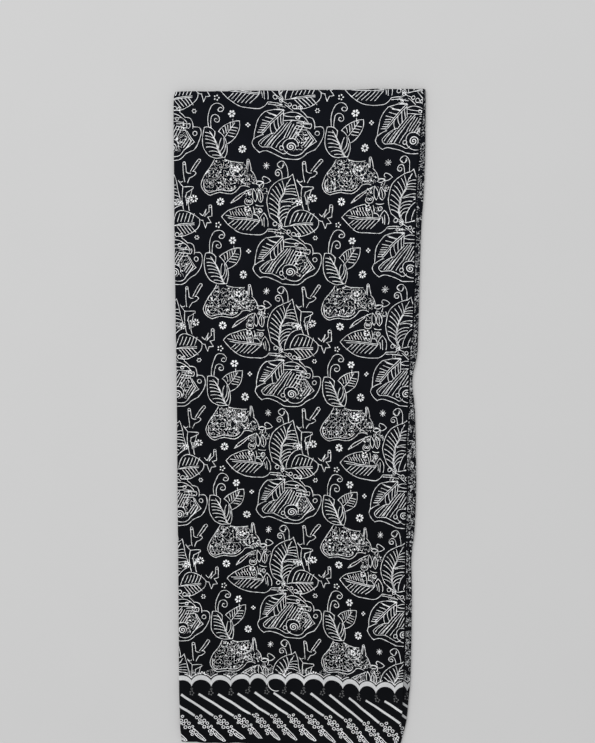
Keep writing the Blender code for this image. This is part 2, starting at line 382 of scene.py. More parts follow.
def shell(name, path_at, cloth_start, stations, rise, height_above, slides, wander):
    """Two skins, half a wall each side of a path, swept along the strip, with a UV map for each print.

    cloth_start gives the cloth coordinate and the path's point that it is counted from. slides
    has a function for each of the two prints. wander is how far the cut ends stray.
    """
    rows = []
    for station in stations:
        path = path_at(station)
        across, height, aside, up = np.array(path).T
        run = np.concatenate([[0.0], np.cumsum(np.hypot(np.diff(across), np.diff(height)))])
        origin_u, origin_index, sign = cloth_start(path)
        u = origin_u + sign * (run - run[origin_index])
        ends = abs(2 * station / LENGTH - 1) ** 24
        stray = wander * (np.sin(u * 61) + 0.6 * np.sin(u * 173 + 2))
        along = station + rise(across) * (1 - station / LENGTH) + ends * stray
        top = height + height_above(across, along, height, station)
        row = [across, along, top, aside, up]
        for slide in slides:
            slid_aside, slid_up = slide(across, along)
            row += [u - slid_aside, along - slid_up]
        rows.append(np.stack(row, -1))
    data = np.array(rows)
    count_rows, count = data.shape[:2]
    skins, cloth = [], []
    for side in (HALF_WALL, -HALF_WALL):
        x = data[:, :, 0] + side * data[:, :, 3] - WIDTH / 2
        y = data[:, :, 1] - LENGTH / 2
        z = data[:, :, 2] + side * data[:, :, 4]
        skins.append(np.stack([x, y, z], -1))
        cloth.append(data[:, :, 5:])
    points = np.concatenate(skins, 1)
    cloth = np.concatenate(cloth, 1)
    wide = 2 * count

    def at(r, k):
        return r * wide + k

    faces = []
    for r in range(count_rows - 1):
        for k in range(count - 1):
            faces.append((at(r, k), at(r, k + 1), at(r + 1, k + 1), at(r + 1, k)))
            a, b = count + k, count + k + 1
            faces.append((at(r, b), at(r, a), at(r + 1, a), at(r + 1, b)))
        for k, m in ((0, count), (wide - 1, count - 1)):
            faces.append((at(r, m), at(r, k), at(r + 1, k), at(r + 1, m)))
    for r, flip in ((0, False), (count_rows - 1, True)):
        for k in range(count - 1):
            face = (at(r, k), at(r, count + k), at(r, count + k + 1), at(r, k + 1))
            faces.append(face[::-1] if flip else face)
    mesh = bpy.data.meshes.new(name)
    piece = bpy.data.objects.new(name, mesh)
    mesh.from_pydata(points.reshape(-1, 3).tolist(), [], faces)
    corners = np.empty(len(mesh.loops), dtype=np.int32)
    mesh.loops.foreach_get("vertex_index", corners)
    for k, name in enumerate(("cloth", "border")):
        uv = mesh.uv_layers.new(name=name)
        places = cloth.reshape(-1, cloth.shape[-1])[corners, 2 * k : 2 * k + 2]
        uv.data.foreach_set("uv", places.astype(np.float32).ravel())
    mesh.shade_smooth()
    mesh.set_sharp_from_angle(angle=math.radians(50))
    mesh.update()
    bpy.context.scene.collection.objects.link(piece)
    return piece


class Pen:
    """Draws marks as nodes. Every mark is 1 inside and 0 outside, and marks add up in self.ink."""

    def __init__(self, tree):
        self.tree = tree
        self.ink = None
        self.half = 0.8

    def put(self, socket, value):
        if isinstance(value, bpy.types.NodeSocket):
            self.tree.links.new(value, socket)
        else:
            socket.default_value = value

    def math(self, operation, *values, clamp=False):
        node = self.tree.nodes.new("ShaderNodeMath")
        node.operation = operation
        node.use_clamp = clamp
        for socket, value in zip(node.inputs, values):
            self.put(socket, value)
        return node.outputs[0]

    def vector(self, operation, *values):
        node = self.tree.nodes.new("ShaderNodeVectorMath")
        node.operation = operation
        for socket, value in zip(node.inputs, values):
            self.put(socket, value)
        return node.outputs["Value" if operation in ("DISTANCE", "LENGTH", "DOT_PRODUCT") else "Vector"]

    def split(self, vector):
        node = self.tree.nodes.new("ShaderNodeSeparateXYZ")
        self.tree.links.new(vector, node.inputs[0])
        return node.outputs[0], node.outputs[1]

    def window(self, point, x, y, repeat):
        """The same point, brought into the repeat that has its middle at x, y."""
        wide, high = repeat
        top = (x + wide / 2, y + high / 2, 1.0)
        low = (x - wide / 2, y - high / 2, -1.0)
        return self.vector("WRAP", point, top, low)

    def add(self, mark, share=1.0):
        if self.ink is None:
            self.ink = self.math("MULTIPLY", mark, share)
        else:
            self.ink = self.math("MULTIPLY_ADD", mark, share, self.ink)

    def run(self, point, corners, half=None):
        """Arcs from corner to corner. A corner is x, y and how far the next arc bulges to its left."""
        half = self.half if half is None else half
        for (x1, y1, bulge), (x2, y2, _) in zip(corners, corners[1:]):
            dx, dy = x2 - x1, y2 - y1
            chord = math.hypot(dx, dy)
            sag = math.copysign(max(abs(bulge), chord * 0.012), bulge if bulge else 1.0)
            radius = (chord * chord / 4 + sag * sag) / (2 * abs(sag))
            back = (radius - abs(sag)) * math.copysign(1.0, sag)
            mid_x, mid_y = (x1 + x2) / 2, (y1 + y2) / 2
            centre = (mid_x + dy / chord * back, mid_y - dx / chord * back, 0.0)
            ring = self.math("COMPARE", self.vector("DISTANCE", point, centre), radius, half)
            near = self.vector("DISTANCE", point, (mid_x, mid_y, 0.0))
            self.add(ring, self.math("LESS_THAN", near, chord / 2 + 0.5))

    def ring(self, point, x, y, radius, half=None):
        away = self.vector("DISTANCE", point, (x, y, 0.0))
        self.add(self.math("COMPARE", away, radius, self.half if half is None else half))

    def disc(self, point, x, y, radius):
        return self.math("SUBTRACT", self.vector("DISTANCE", point, (x, y, 0.0)), radius)

    def hatch(self, point, start, end, step, count, bend=0.0, half=None):
        """A row of like strokes. The first runs from start to end, and each is a step on from the last."""
        ex, ey = end[0] - start[0], end[1] - start[1]
        sx, sy = step
        cross = ex * sy - ey * sx
        local = self.vector("SUBTRACT", point, (start[0], start[1], 0.0))
        row = self.vector("DOT_PRODUCT", local, (-ey / cross, ex / cross, 0.0))
        run = self.vector("DOT_PRODUCT", local, (sy / cross, -sx / cross, 0.0))
        if bend:
            row = self.math("MULTIPLY_ADD", self.math("MULTIPLY", run, run), bend, row)
        apart = abs(cross) / math.hypot(ex, ey)
        half = self.half if half is None else half
        width = self.math("DIVIDE", half, apart) if isinstance(half, bpy.types.NodeSocket) else half / apart
        line = self.math("LESS_THAN", self.math("PINGPONG", row, 0.5), width)
        rows = self.math("COMPARE", row, (count - 1) / 2, (count - 1) / 2 + 0.45)
        inside = self.math("COMPARE", run, 0.5, 0.5)
        self.add(line, self.math("MULTIPLY", rows, inside))

    def spiral(self, point, x, y, reach, pitch):
        """A snail of lines that wind out from x, y as far as reach."""
        local = self.vector("SUBTRACT", point, (x, y, 0.0))
        away = self.vector("LENGTH", local)
        across, up = self.split(local)
        turn = self.math("MULTIPLY", self.math("ARCTAN2", up, across), 1 / math.tau)
        wound = self.math("MULTIPLY_ADD", away, 1 / pitch, turn)
        line = self.math("LESS_THAN", self.math("PINGPONG", wound, 0.5), 0.17)
        self.add(line, self.math("LESS_THAN", away, reach))

    def noise(self, point, size, detail=2.0, roughness=0.5):
        """Soft noise over the cloth, its grain about size across: a grey and a colour."""
        node = self.tree.nodes.new("ShaderNodeTexNoise")
        node.noise_dimensions = "2D"
        for name, value in (("Scale", 1 / size), ("Detail", detail), ("Roughness", roughness)):
            node.inputs[name].default_value = value
        self.tree.links.new(point, node.inputs["Vector"])
        return node.outputs["Fac"], node.outputs["Color"]

    def stipple(self, point, size, width):
        """Small crawling lines, as the hand fills a ground with."""
        grain, _ = self.noise(point, size, 1.0, 0.6)
        return self.math("COMPARE", grain, 0.5, width)

    def flower(self, point, x, y, spread_out, knob, petals, share=1.0):
        """Round petals of one size, their middles spread_out from x, y."""
        local = self.vector("SUBTRACT", point, (x, y, 0.0))
        away = self.vector("LENGTH", local)
        across, up = self.split(local)
        turn = self.math("PINGPONG", self.math("ARCTAN2", up, across), math.pi / petals)
        ahead = self.math("MULTIPLY", self.math("COSINE", turn), away)
        square = self.math("MULTIPLY_ADD", ahead, -2.0 * spread_out, spread_out * spread_out)
        self.add(self.math("LESS_THAN", self.math("MULTIPLY_ADD", away, away, square), knob * knob), share)


# Motifs of the repeat. Each has the middle of its window, then its runs, whose corners are
# x, y and the bulge of the arc that follows, in millimetres
RUNS = {
    "curls": (
        (67, 1015),
        ((54.8, 998, 2.6), (60, 1027, 6.4), (78.6, 1027, 3.4), (71.2, 1022, 2.2), (75.5, 1026.5, 0)),
        (
            (58.6, 998, 0.8), (60.5, 1013, 5.0), (73.2, 1010.5, 2.8), (66.5, 1006.5, 1.6),
            (67.5, 1011, 0),
        ),
    ),
    "veined_leaf": (
        (66, 974),
        (
            (64.5, 991.5, -3.0), (48.5, 997.5, -0.8), (46.6, 975, -2.0), (54.5, 955.5, -0.9),
            (68, 950.5, 0.1), (81, 951.5, -1.2), (83.5, 968, -3.0), (71, 992, 0),
        ),
        ((65, 992, 0.3), (64, 983, 0)),
        ((57, 992, 1.0), (69, 967, -0.6), (76.5, 951.5, 0)),
        ((58.6, 990, 1.0), (70.4, 967, -0.6), (78, 951.5, 0)),
        ((50.5, 990, 0.5), (58, 988.5, 0)),
        ((51, 984.5, 0.8), (62, 981.5, 0)),
        ((51, 979.4, 1.2), (66, 974.5, 0)),
        ((52, 973.4, 0.8), (66, 971, 0)),
        ((52.5, 967.5, 1.2), (69, 965, 0)),
        ((56, 961, 1.6), (71, 959.5, 0)),
        ((61, 955.6, 0.8), (74, 954, 0)),
        ((74.5, 981, -1.0), (71.5, 967, 0)),
        ((78.4, 981, 2.6), (73, 961, 0)),
        ((81, 972, 1.4), (76.5, 957, 0)),
    ),
    "small_leaf": (
        (88, 990),
        ((71, 992, 4.4), (103.5, 1005.5, 2.0), (98.5, 983, 1.2), (84, 973, 0)),
        ((81, 983, -0.6), (96, 1003, 0)),
        ((77.4, 995.6, 0.4), (79.5, 988, 0)),
        ((81.6, 999.4, 0.5), (83, 988.5, 0)),
    ),
    "stars": (
        (88, 980),
        ((139.4, 938, 0.1), (148.6, 938.4, 0)),
        ((144, 933.4, 0.1), (144, 943, 0)),
        ((140.8, 934.8, 0.1), (147.2, 941.2, 0)),
        ((140.8, 941.4, 0.1), (147.2, 934.8, 0)),
    ),
    "column": (
        (120, 894),
        ((88.5, 882, 0.3), (96, 890.5, 0.8), (122, 903.5, 0)),
        ((88.5, 882, -0.3), (99, 887.2, -0.3), (112, 897.5, 0)),
        ((92.6, 887.5, 0.1), (93.4, 884.4, 0)),
        ((139.8, 917, 1.6), (140.5, 922.5, 1.4), (151, 915.5, 1.2), (141.5, 911.5, 0)),
        (
            (134.5, 902, -1.0), (131.2, 891, -1.4), (136.4, 882.5, -1.4), (139.8, 893, -1.0),
            (134.5, 902, 0),
        ),
        ((134.8, 898, 0.3), (136, 886, 0)),
        (
            (124.4, 904, -0.6), (123.4, 893, -1.2), (127.6, 884, -1.2), (129.6, 895, -0.6),
            (124.4, 904, 0),
        ),
        ((113.4, 889, -1.5), (111.8, 881.5, -1.6), (121.5, 880.5, -1.8), (121, 888.6, 0)),
        ((128.5, 911.5, 2.6), (139.5, 912.5, 2.6), (128.5, 911.5, 0)),
        ((110.5, 878, 0.5), (112, 869.5, -2.0), (119, 872, 1.4), (122, 858, 0)),
        ((123.5, 876, 0.8), (124.6, 864, 1.8), (132.6, 858, 0)),
        ((128, 878.5, -1.0), (139, 877, 0)),
        ((129, 915, 0.8), (140, 914, 1.0), (139, 905, 0)),
    ),
    "stippled_sack": (
        (86, 921),
        (
            (64, 948.5, 0.6), (50.5, 928, -1.0), (43.4, 911, -3.2), (57, 894.8, 0.5), (72, 898.2, -0.4),
            (89, 896.2, -1.8), (104, 907.5, 1.6), (118, 906.5, 0),
        ),
        (
            (48, 917.5, -1.0), (48.6, 904, -1.6), (57.5, 899, 0.4), (73, 902, -0.4), (88, 900.5, -1.0),
            (97, 906, 0),
        ),
        ((81, 948.5, -0.6), (95, 944.3, -0.3), (109, 943.5, 0)),
        ((91.5, 938, -6.4), (107, 936, 0)),
        ((89, 930.5, -7.6), (111, 930, 0)),
        ((113.6, 934, -0.4), (115.2, 947, 1.8), (118.6, 947, 0.2), (121.6, 932.5, 0)),
        ((116.8, 945, 0.1), (116, 933, 0)),
        ((121, 931, 1.8), (129, 914.5, 0)),
        ((101, 920, -1.0), (113, 911, 0)),
    ),
    "horizontal_leaf": (
        (110, 855),
        ((74.3, 861, 0.8), (85, 871, 0.9), (110.5, 878, 0)),
        ((74.3, 861, -0.8), (93, 842, -1.4), (112, 834.5, -0.6), (134, 832.6, -1.4), (146, 841, 0)),
        ((81, 863.4, 0.2), (103, 859, 0.2), (135, 854.8, 0)),
        ((85, 859.6, -0.2), (110, 856.2, 0.2), (133, 853, 0)),
        ((133.6, 853.5, 1.4), (140.6, 866.6, 3.0), (147, 845.5, 0)),
        ((140.8, 859.5, 0.1), (141.4, 846, 0)),
        ((137, 857, 0.5), (138.5, 848, 0)),
    ),
    "upright_leaf": (
        (169, 886),
        (
            (170, 846.5, 1.0), (151, 860, 0.6), (145.5, 882, 1.2), (151, 904, 1.4), (166, 917, 0.6),
            (179, 921.5, -0.3), (184.6, 925.8, 0.2), (189, 909, -0.3), (194.8, 884, -1.0),
            (192, 878.5, -2.4), (176.5, 862, -0.9), (173, 848, 0),
        ),
        ((169.5, 848, 0.8), (164, 863, -0.4), (166.5, 884, 0.3), (173, 896.5, 0.4), (177.5, 913, 0)),
        ((166.6, 850, 0.6), (162.4, 863, -0.4), (164.6, 882, 0.3), (171, 896, 0)),
        ((164, 858.5, -0.8), (151.5, 866, 0)),
        ((163.6, 864.5, -0.8), (149.6, 873.5, 0)),
        ((163.6, 870, -0.8), (149.2, 881, 0)),
        ((165, 876, -0.9), (150.6, 889, 0)),
        ((165.6, 881, -0.9), (152.4, 896, 0)),
        ((167, 886, -0.9), (155, 902, 0)),
        ((169, 890.5, -0.9), (159.6, 907, 0)),
        ((172, 896, -0.8), (165, 912, 0)),
        ((173.6, 899.5, -0.6), (170, 916, 0)),
        ((178.4, 912, 0.4), (182, 919, 0)),
        ((177, 907, 0.9), (187, 909.5, 0)),
        ((175.4, 902.5, 0.9), (188, 903.6, 0)),
        ((174.2, 899, 0.8), (189, 898.4, 0)),
        ((173, 896, 0.8), (190.4, 893, 0)),
        ((168, 884, 2.4), (192.4, 887.5, 0)),
        ((169, 883, 1.7), (187.5, 882.5, 0)),
        ((165.6, 872, 2.4), (182.5, 878, 0)),
        ((165.8, 867, 1.9), (180.5, 873.5, 0)),
        ((165.4, 860, 1.7), (178.5, 868.5, 0)),
        ((167, 855.5, 1.4), (175, 862, 0)),
        (
            (170, 921, -0.5), (167.8, 930.4, -3.2), (158.8, 928, -2.0), (163.8, 923.6, -2.0),
            (162.8, 928.6, 0),
        ),
        (
            (178, 921.5, -0.3), (177.3, 932, -1.2), (172.5, 943.6, -1.7), (164, 943, -2.2),
            (164.5, 936.2, -2.4), (171, 937.4, -0.9), (171.6, 941, 0),
        ),
    ),
    "round_leaf": (
        (203, 851),
        (
            (181.5, 850, 0.8), (188, 867, 1.8), (200, 870.8, 2.0), (222.5, 857, 1.8), (219, 844, 1.2),
            (200, 832.5, 0.8), (186, 832, 0),
        ),
        ((172, 846, -0.3), (190, 850.0, 0.3), (214, 852, 0)),
        ((183, 847.6, 0.2), (214, 849.6, 0)),
        ((147, 841.5, 0.2), (163, 840, 0)),
        ((147, 838.5, 0.3), (173, 834.5, 0)),
        ((156, 830.5, 0.2), (172, 829, 0)),
        ((173, 838, 0.4), (184, 829, 0)),
        ((163, 848, -0.6), (176, 840, 0)),
    ),
    "twig": (
        (21, 905),
        ((17.2, 915, 0.3), (14.9, 944, 1.9), (18.9, 944, 0.2), (20.4, 931, -1.0), (27, 928.6, 0)),
        (
            (26.5, 931.5, 0.1), (38.8, 949, 1.7), (42.6, 946.4, 0.1), (30.2, 931, 1.2), (35, 928, 1.2),
            (26, 922, -0.3), (21.6, 914, 0),
        ),
        ((13.9, 915.5, 1.7), (7.2, 916.5, -0.4), (13.4, 908.5, 0)),
        (
            (13, 893, 0.4), (14, 907.5, 0.1), (28.6, 907.8, 1.2), (30.4, 904.6, 0.1), (19, 899, 0.4),
            (17.5, 893, 0),
        ),
        ((28, 903, 0.3), (22.6, 887, -0.6), (24.6, 871, 0)),
        ((12.6, 891, -0.5), (16.4, 872, 0)),
        ((18, 893, 0.6), (20.5, 880, 0)),
        ((1.5, 880, -0.6), (6.5, 886, 0.3), (13, 882, 0)),
    ),
    "thorny_twig": (
        (49, 862),
        (
            (55.3, 869, 0.1), (55.3, 877.8, 2.1), (59.6, 877.8, 0.1), (59.4, 862, 0.2),
            (52.5, 860, 0.1), (58, 852, 0.2), (51.4, 851.4, 0.1), (48.6, 844, 0.1), (44.5, 855, 0.5),
            (39.4, 856.4, 0),
        ),
        ((55.3, 869, -0.3), (47.5, 861, 0.2), (50.4, 872.5, 0.1), (44.4, 862, 0.3), (40, 866, 0)),
    ),
    "bloom": (
        (170, 985),
        ((126, 980.5, 0.7), (129, 1003, 1.6), (142, 1020.5, 1.0), (171, 1023, 0.3), (170.6, 1004, 0)),
        ((136, 989, -0.5), (150, 1003.4, 0.4), (170, 1021.5, 0)),
        ((138, 987, -0.5), (152, 1001.6, 0.4), (171, 1018.5, 0)),
        ((161, 1014, 0.4), (146, 1019.4, 0)),
        ((151, 1001.6, -1.4), (153.4, 986, 0)),
        ((156.6, 1006, -1.6), (160.6, 990.5, 0)),
        ((162.6, 1011, -0.6), (163.6, 994.5, 0)),
        ((167, 1015, -0.4), (168, 999.5, 0)),
        ((126.5, 979.5, 0.8), (140, 986, 0)),
        (
            (126, 980.5, -0.3), (123.2, 973, -1.6), (134, 958.6, 1.2), (147, 960, 0.8),
            (170, 949.6, -0.7), (192, 949, -1.0), (203, 957, 0.5), (215, 963.6, -1.2), (226, 981, -0.9),
            (227, 993, -1.6), (221, 998.4, 0.1), (214.5, 998.4, 0),
        ),
        (
            (156, 987, -2.2), (133.2, 974, -1.6), (138.4, 966.2, 0.2), (152, 966, 0.6),
            (170, 956.6, -1.2), (176.6, 959.4, 0),
        ),
        ((136.6, 971.5, 1.0), (149.5, 983.5, 0)),
        ((148.5, 968.5, 0.4), (177, 1004, 0)),
        ((152.5, 967, 0.4), (183, 1006, 0)),
        ((157, 986, 0.5), (171.5, 1003, 0)),
        ((160, 966.5, 0.6), (172.5, 982, 0)),
    ),
    "bloom_right": (
        (196, 985),
        ((171.5, 1016, 4.2), (196.5, 1013.6, 0.8), (205, 1005.5, 0)),
        ((171.5, 1014.6, -2.0), (196, 1013.4, 0)),
        ((172, 1007, 0.4), (200, 1005.6, 0)),
        ((190, 1003.4, 0.4), (209.4, 1003.4, 1.4), (208, 996.4, -0.3), (191, 999.4, 0)),
        (
            (172, 962.6, -2.4), (187, 954, -2.2), (199.6, 961.6, -0.6), (212, 977.5, 0.8),
            (203.6, 994, 0.8), (189, 994.6, 0),
        ),
        ((171.4, 966, 4.4), (180, 979.4, 4.4), (192, 969, 0)),
        ((200.6, 963.6, 0.3), (216.6, 976, 0.5), (206, 992, 0)),
        ((194, 1027, 0.4), (194.6, 1021, 0.4), (203, 1013, 0.9), (211.6, 1010.4, 1.4), (214.2, 996, 0)),
    ),
}

# Rows of like strokes in a motif: where the first starts and ends, the step to the next, how
# many there are, and how they bend
HATCH_ROWS = (
    ("small_leaf", (86.5, 991.5), (85.5, 1001), (3.6, 4.0), 3, 0.0),
    ("small_leaf", (85.5, 984.5), (95.5, 982), (1.8, 4.2), 4, 0.0),
    ("horizontal_leaf", (90.5, 864), (87, 870.5), (4.4, -0.6), 7, 0.0),
    ("horizontal_leaf", (99, 867.5), (97, 873.5), (4.4, 0.2), 4, 0.0),
    ("horizontal_leaf", (94, 856), (85, 848.5), (6.6, -0.4), 2, 0.1),
    ("horizontal_leaf", (107, 855.5), (94, 842.5), (6.6, -0.7), 5, 0.1),
    ("round_leaf", (188, 853.5), (194, 866.5), (5.6, 0.0), 5, 0.1),
    ("round_leaf", (187, 846.5), (197, 835), (5.0, 0.9), 5, 0.1),
    ("bloom", (150, 1004), (138, 1008), (5.0, 4.6), 3, 0.0),
    ("bloom", (139.6, 989), (130.6, 989.6), (1.6, 3.3), 5, 0.0),
    ("bloom", (141.5, 968.4), (155.5, 984.5), (4.0, -0.6), 2, 0.0),
    ("bloom_right", (171.5, 982.5), (184, 1002.5), (3.8, -1.2), 5, 0.3),
    ("bloom_right", (203, 965.5), (212, 979), (-3.0, 2.0), 3, 0.0),
)

# Flowers of the repeat: x, y, how far the petals' middles are spread, their radius and their count
FLOWER_ROWS = (
    (107.5, 964, 4.8, 1.3, 8),
    (107.5, 964, 3.0, 0.85, 8),
    (116, 1000.5, 2.3, 1.2, 4),
    (91, 1017, 4.1, 1.55, 6),
    (91, 1017, 2.4, 0.85, 6),
    (69, 849, 3.4, 1.1, 5),
    (73, 884.5, 4.6, 1.3, 8),
    (73, 884.5, 2.9, 0.85, 8),
    (31, 890, 4.5, 1.25, 7),
    (31, 890, 2.9, 0.8, 7),
    (99, 933.5, 3.4, 1.5, 5),
    (194, 883, 3.2, 1.15, 5),
    (115.5, 873.6, 3.1, 1.15, 5),
    (34.2, 1022.5, 2.7, 0.9, 6),
)

# Rings of the repeat: x, y and radius
RING_ROWS = (
    (217.6, 988.6, 3.2),
    (190.4, 1011, 2.4),
    (115.2, 885.4, 1.6),
    (119.0, 885.0, 1.5),
    (134.5, 870.0, 3.0),
    (158, 849.5, 3.0),
    (166.6, 844.5, 2.4),
    (187, 834.5, 3.0),
    (194.0, 833.5, 2.6),
    (180, 838.5, 2.6),
    (168.6, 966, 3.0),
)

# Snails of the repeat: x, y, reach and pitch
SPIRAL_ROWS = ((182, 967.4, 7.0, 3.4),)

# Discs that hold the crawling stipple: x, y and radius
STIPPLE_ROWS = (
    (58, 911, 11.5),
    (59, 926, 9.0),
    (73, 914, 14.0),
    (68, 938, 9.5),
    (82, 932, 15.5),
    (88, 912, 11.5),
    (103, 929, 14.0),
    (105, 919, 8.5),
    (119, 917, 9.0),
    (196.5, 982, 9.5),
    (193, 966, 5.0),
    (116.5, 896.5, 6.0),
    (134, 904, 5.0),
    (130, 868, 6.0),
    (116, 862, 5.0),
    (142, 900, 5.5),
    (5.5, 884.5, 5.5),
    (24, 888, 6.0),
    (201, 1001, 6.5),
    (163, 836, 6.0),
)


def motif_group(name, draw):
    """A node group of one motif: the point and the pen's half width in, and its ink out."""
    tree = bpy.data.node_groups.new(name, "ShaderNodeTree")
    tree.interface.new_socket("Point", in_out="INPUT", socket_type="NodeSocketVector")
    tree.interface.new_socket("Half", in_out="INPUT", socket_type="NodeSocketFloat")
    tree.interface.new_socket("Ink", in_out="OUTPUT", socket_type="NodeSocketFloat")
    start = tree.nodes.new("NodeGroupInput")
    pen = Pen(tree)
    pen.half = start.outputs["Half"]
    draw(pen, start.outputs["Point"])
    tree.links.new(pen.ink, tree.nodes.new("NodeGroupOutput").inputs["Ink"])
    return tree


def draw_motif(name):
    def draw(pen, point):
        middle, *runs = RUNS[name]
        local = pen.window(point, *middle, REPEAT)
        for corners in runs:
            pen.run(local, corners)
        for motif, start, end, step, count, bend in HATCH_ROWS:
            if motif == name:
                pen.hatch(local, start, end, step, count, bend)

    return draw


def draw_round_marks(pen, point):
    for x, y, spread_out, knob, petals in FLOWER_ROWS:
        pen.flower(pen.window(point, x, y, REPEAT), x, y, spread_out, knob, petals)
    for x, y, radius in RING_ROWS:
        pen.ring(pen.window(point, x, y, REPEAT), x, y, radius)
    for x, y, reach, pitch in SPIRAL_ROWS:
        pen.spiral(pen.window(point, x, y, REPEAT), x, y, reach, pitch)


def draw_stipple(pen, point):
    inside = None
    for x, y, radius in STIPPLE_ROWS:
        near = pen.disc(pen.window(point, x, y, REPEAT), x, y, radius)
        inside = near if inside is None else pen.math("MINIMUM", inside, near)
    pen.add(pen.stipple(point, 5.6, 0.024), pen.math("LESS_THAN", inside, 0.0))


def draw_panel(pen, point):
    """The head panel's side, filled with sparse crawling lines."""
    gaps, _ = pen.noise(point, 11.0)
    pen.add(pen.stipple(point, 4.6, 0.036), pen.math("GREATER_THAN", gaps, 0.42))


# The chain of florets that hangs from each stripe: x, y and radius
CHAIN_ROWS = (
    (125.8, 45.1, 2.3),
    (133.2, 47.3, 1.9),
    (130.8, 40.4, 2.2),
    (138.1, 39.2, 2.5),
    (134.3, 34.5, 2.2),
    (129.3, 35.4, 1.5),
    (143.0, 34.6, 2.2),
    (137.7, 28.2, 2.4),
    (144.1, 27.6, 1.9),
    (149.4, 29.2, 1.6),
    (151.2, 22.4, 2.1),
    (146.4, 21.0, 2.0),
    (148.6, 15.6, 1.9),
    (155.6, 15.8, 1.8),
)


def draw_band(pen, point):
    """The scalloped band, the echoes of it in each valley, and the place where two prints join."""
    crest = VALLEY + SCALLOP / 2
    local = pen.window(point, crest, 0.0, (SCALLOP, FAR))
    outer = pen.vector("DISTANCE", local, (crest, BAND_OUTER, 0.0))
    inner = pen.vector("DISTANCE", local, (crest, BAND_INNER, 0.0))
    _, y = pen.split(point)
    above = pen.math("GREATER_THAN", y, BAND_FOOT)
    inside = pen.math("LESS_THAN", outer, OUTER_RADIUS)
    band = pen.math("MULTIPLY", inside, pen.math("GREATER_THAN", inner, INNER_RADIUS))
    thread = pen.math("PINGPONG", pen.math("MULTIPLY", outer, 0.42), 0.5)
    tone = pen.math("MULTIPLY_ADD", thread, 0.45, 0.56)
    pen.add(pen.math("MULTIPLY", band, tone), above)
    valley = pen.window(point, VALLEY, 0.0, (SCALLOP, FAR))
    near = pen.vector("DISTANCE", valley, (VALLEY, 118.4, 0.0))
    pen.add(pen.math("COMPARE", outer, 20.2, 0.45), pen.math("LESS_THAN", near, 11.0))
    filled = pen.math("MULTIPLY", pen.math("GREATER_THAN", outer, 21.6), pen.math("LESS_THAN", near, 8.6))
    pen.add(pen.stipple(point, 4.6, 0.030), pen.math("MULTIPLY", filled, 0.45))
    joint = ((149.4, 103.2, -1.3), (153.5, 92.2, -1.86), (166.9, 88.6, 0))
    pen.run(point, joint, 0.5)


def draw_stripes(pen, point):
    """Slanting stripes, woven looking, cut square at both ends."""
    x, y = pen.split(point)
    slid = pen.math("MULTIPLY_ADD", pen.math("SUBTRACT", y, STRIPE_TOP), STRIPE_LEAN, x)
    aside = pen.math("WRAP", pen.math("SUBTRACT", slid, STRIPE_START), SCALLOP / 2, -SCALLOP / 2)
    weft = pen.math("PINGPONG", pen.math("MULTIPLY_ADD", x, 0.62, pen.math("MULTIPLY", y, 0.25)), 0.5)
    tone = pen.math("MULTIPLY_ADD", weft, 0.38, 0.59)
    middle, half = (STRIPE_TOP + STRIPE_END) / 2, (STRIPE_TOP - STRIPE_END) / 2
    square = STRIPE_LEAN / (1 + STRIPE_LEAN**2)
    span = pen.math("COMPARE", pen.math("MULTIPLY_ADD", aside, -square, y), middle + STRIPE_LIFT, half)
    pen.add(pen.math("MULTIPLY", pen.math("COMPARE", aside, 0.0, STRIPE_HALF), tone), span)


def draw_chain(pen, point):
    """The florets that hang from each stripe, the slim petals under them, and a faint floret above."""
    for cx, cy, radius in CHAIN_ROWS:
        pen.ring(pen.window(point, cx, 0.0, (SCALLOP, FAR)), cx, cy, radius, 0.49)
    petal = pen.window(point, 160.0, 0.0, (SCALLOP, FAR))
    out = ((150.0, 26.2, 0.7), (160.0, 17.0, 0.7), (170.6, 5.2, 1.0))
    back = ((166.4, 5.6, 0.5), (156.6, 12.4, 0.6), (151.5, 20.0, 0))
    pen.run(petal, out + back, 0.55)
    pen.run(petal, ((157.5, 15.6, -0.5), (167.2, 7.0, 0)), 0.5)
    floret = pen.window(point, VALLEY, 0.0, (SCALLOP, FAR))
    pen.flower(floret, VALLEY, 87.0, 3.2, 1.1, 5, 0.16)
    pen.flower(floret, VALLEY, 93.8, 1.4, 0.7, 4, 0.14)


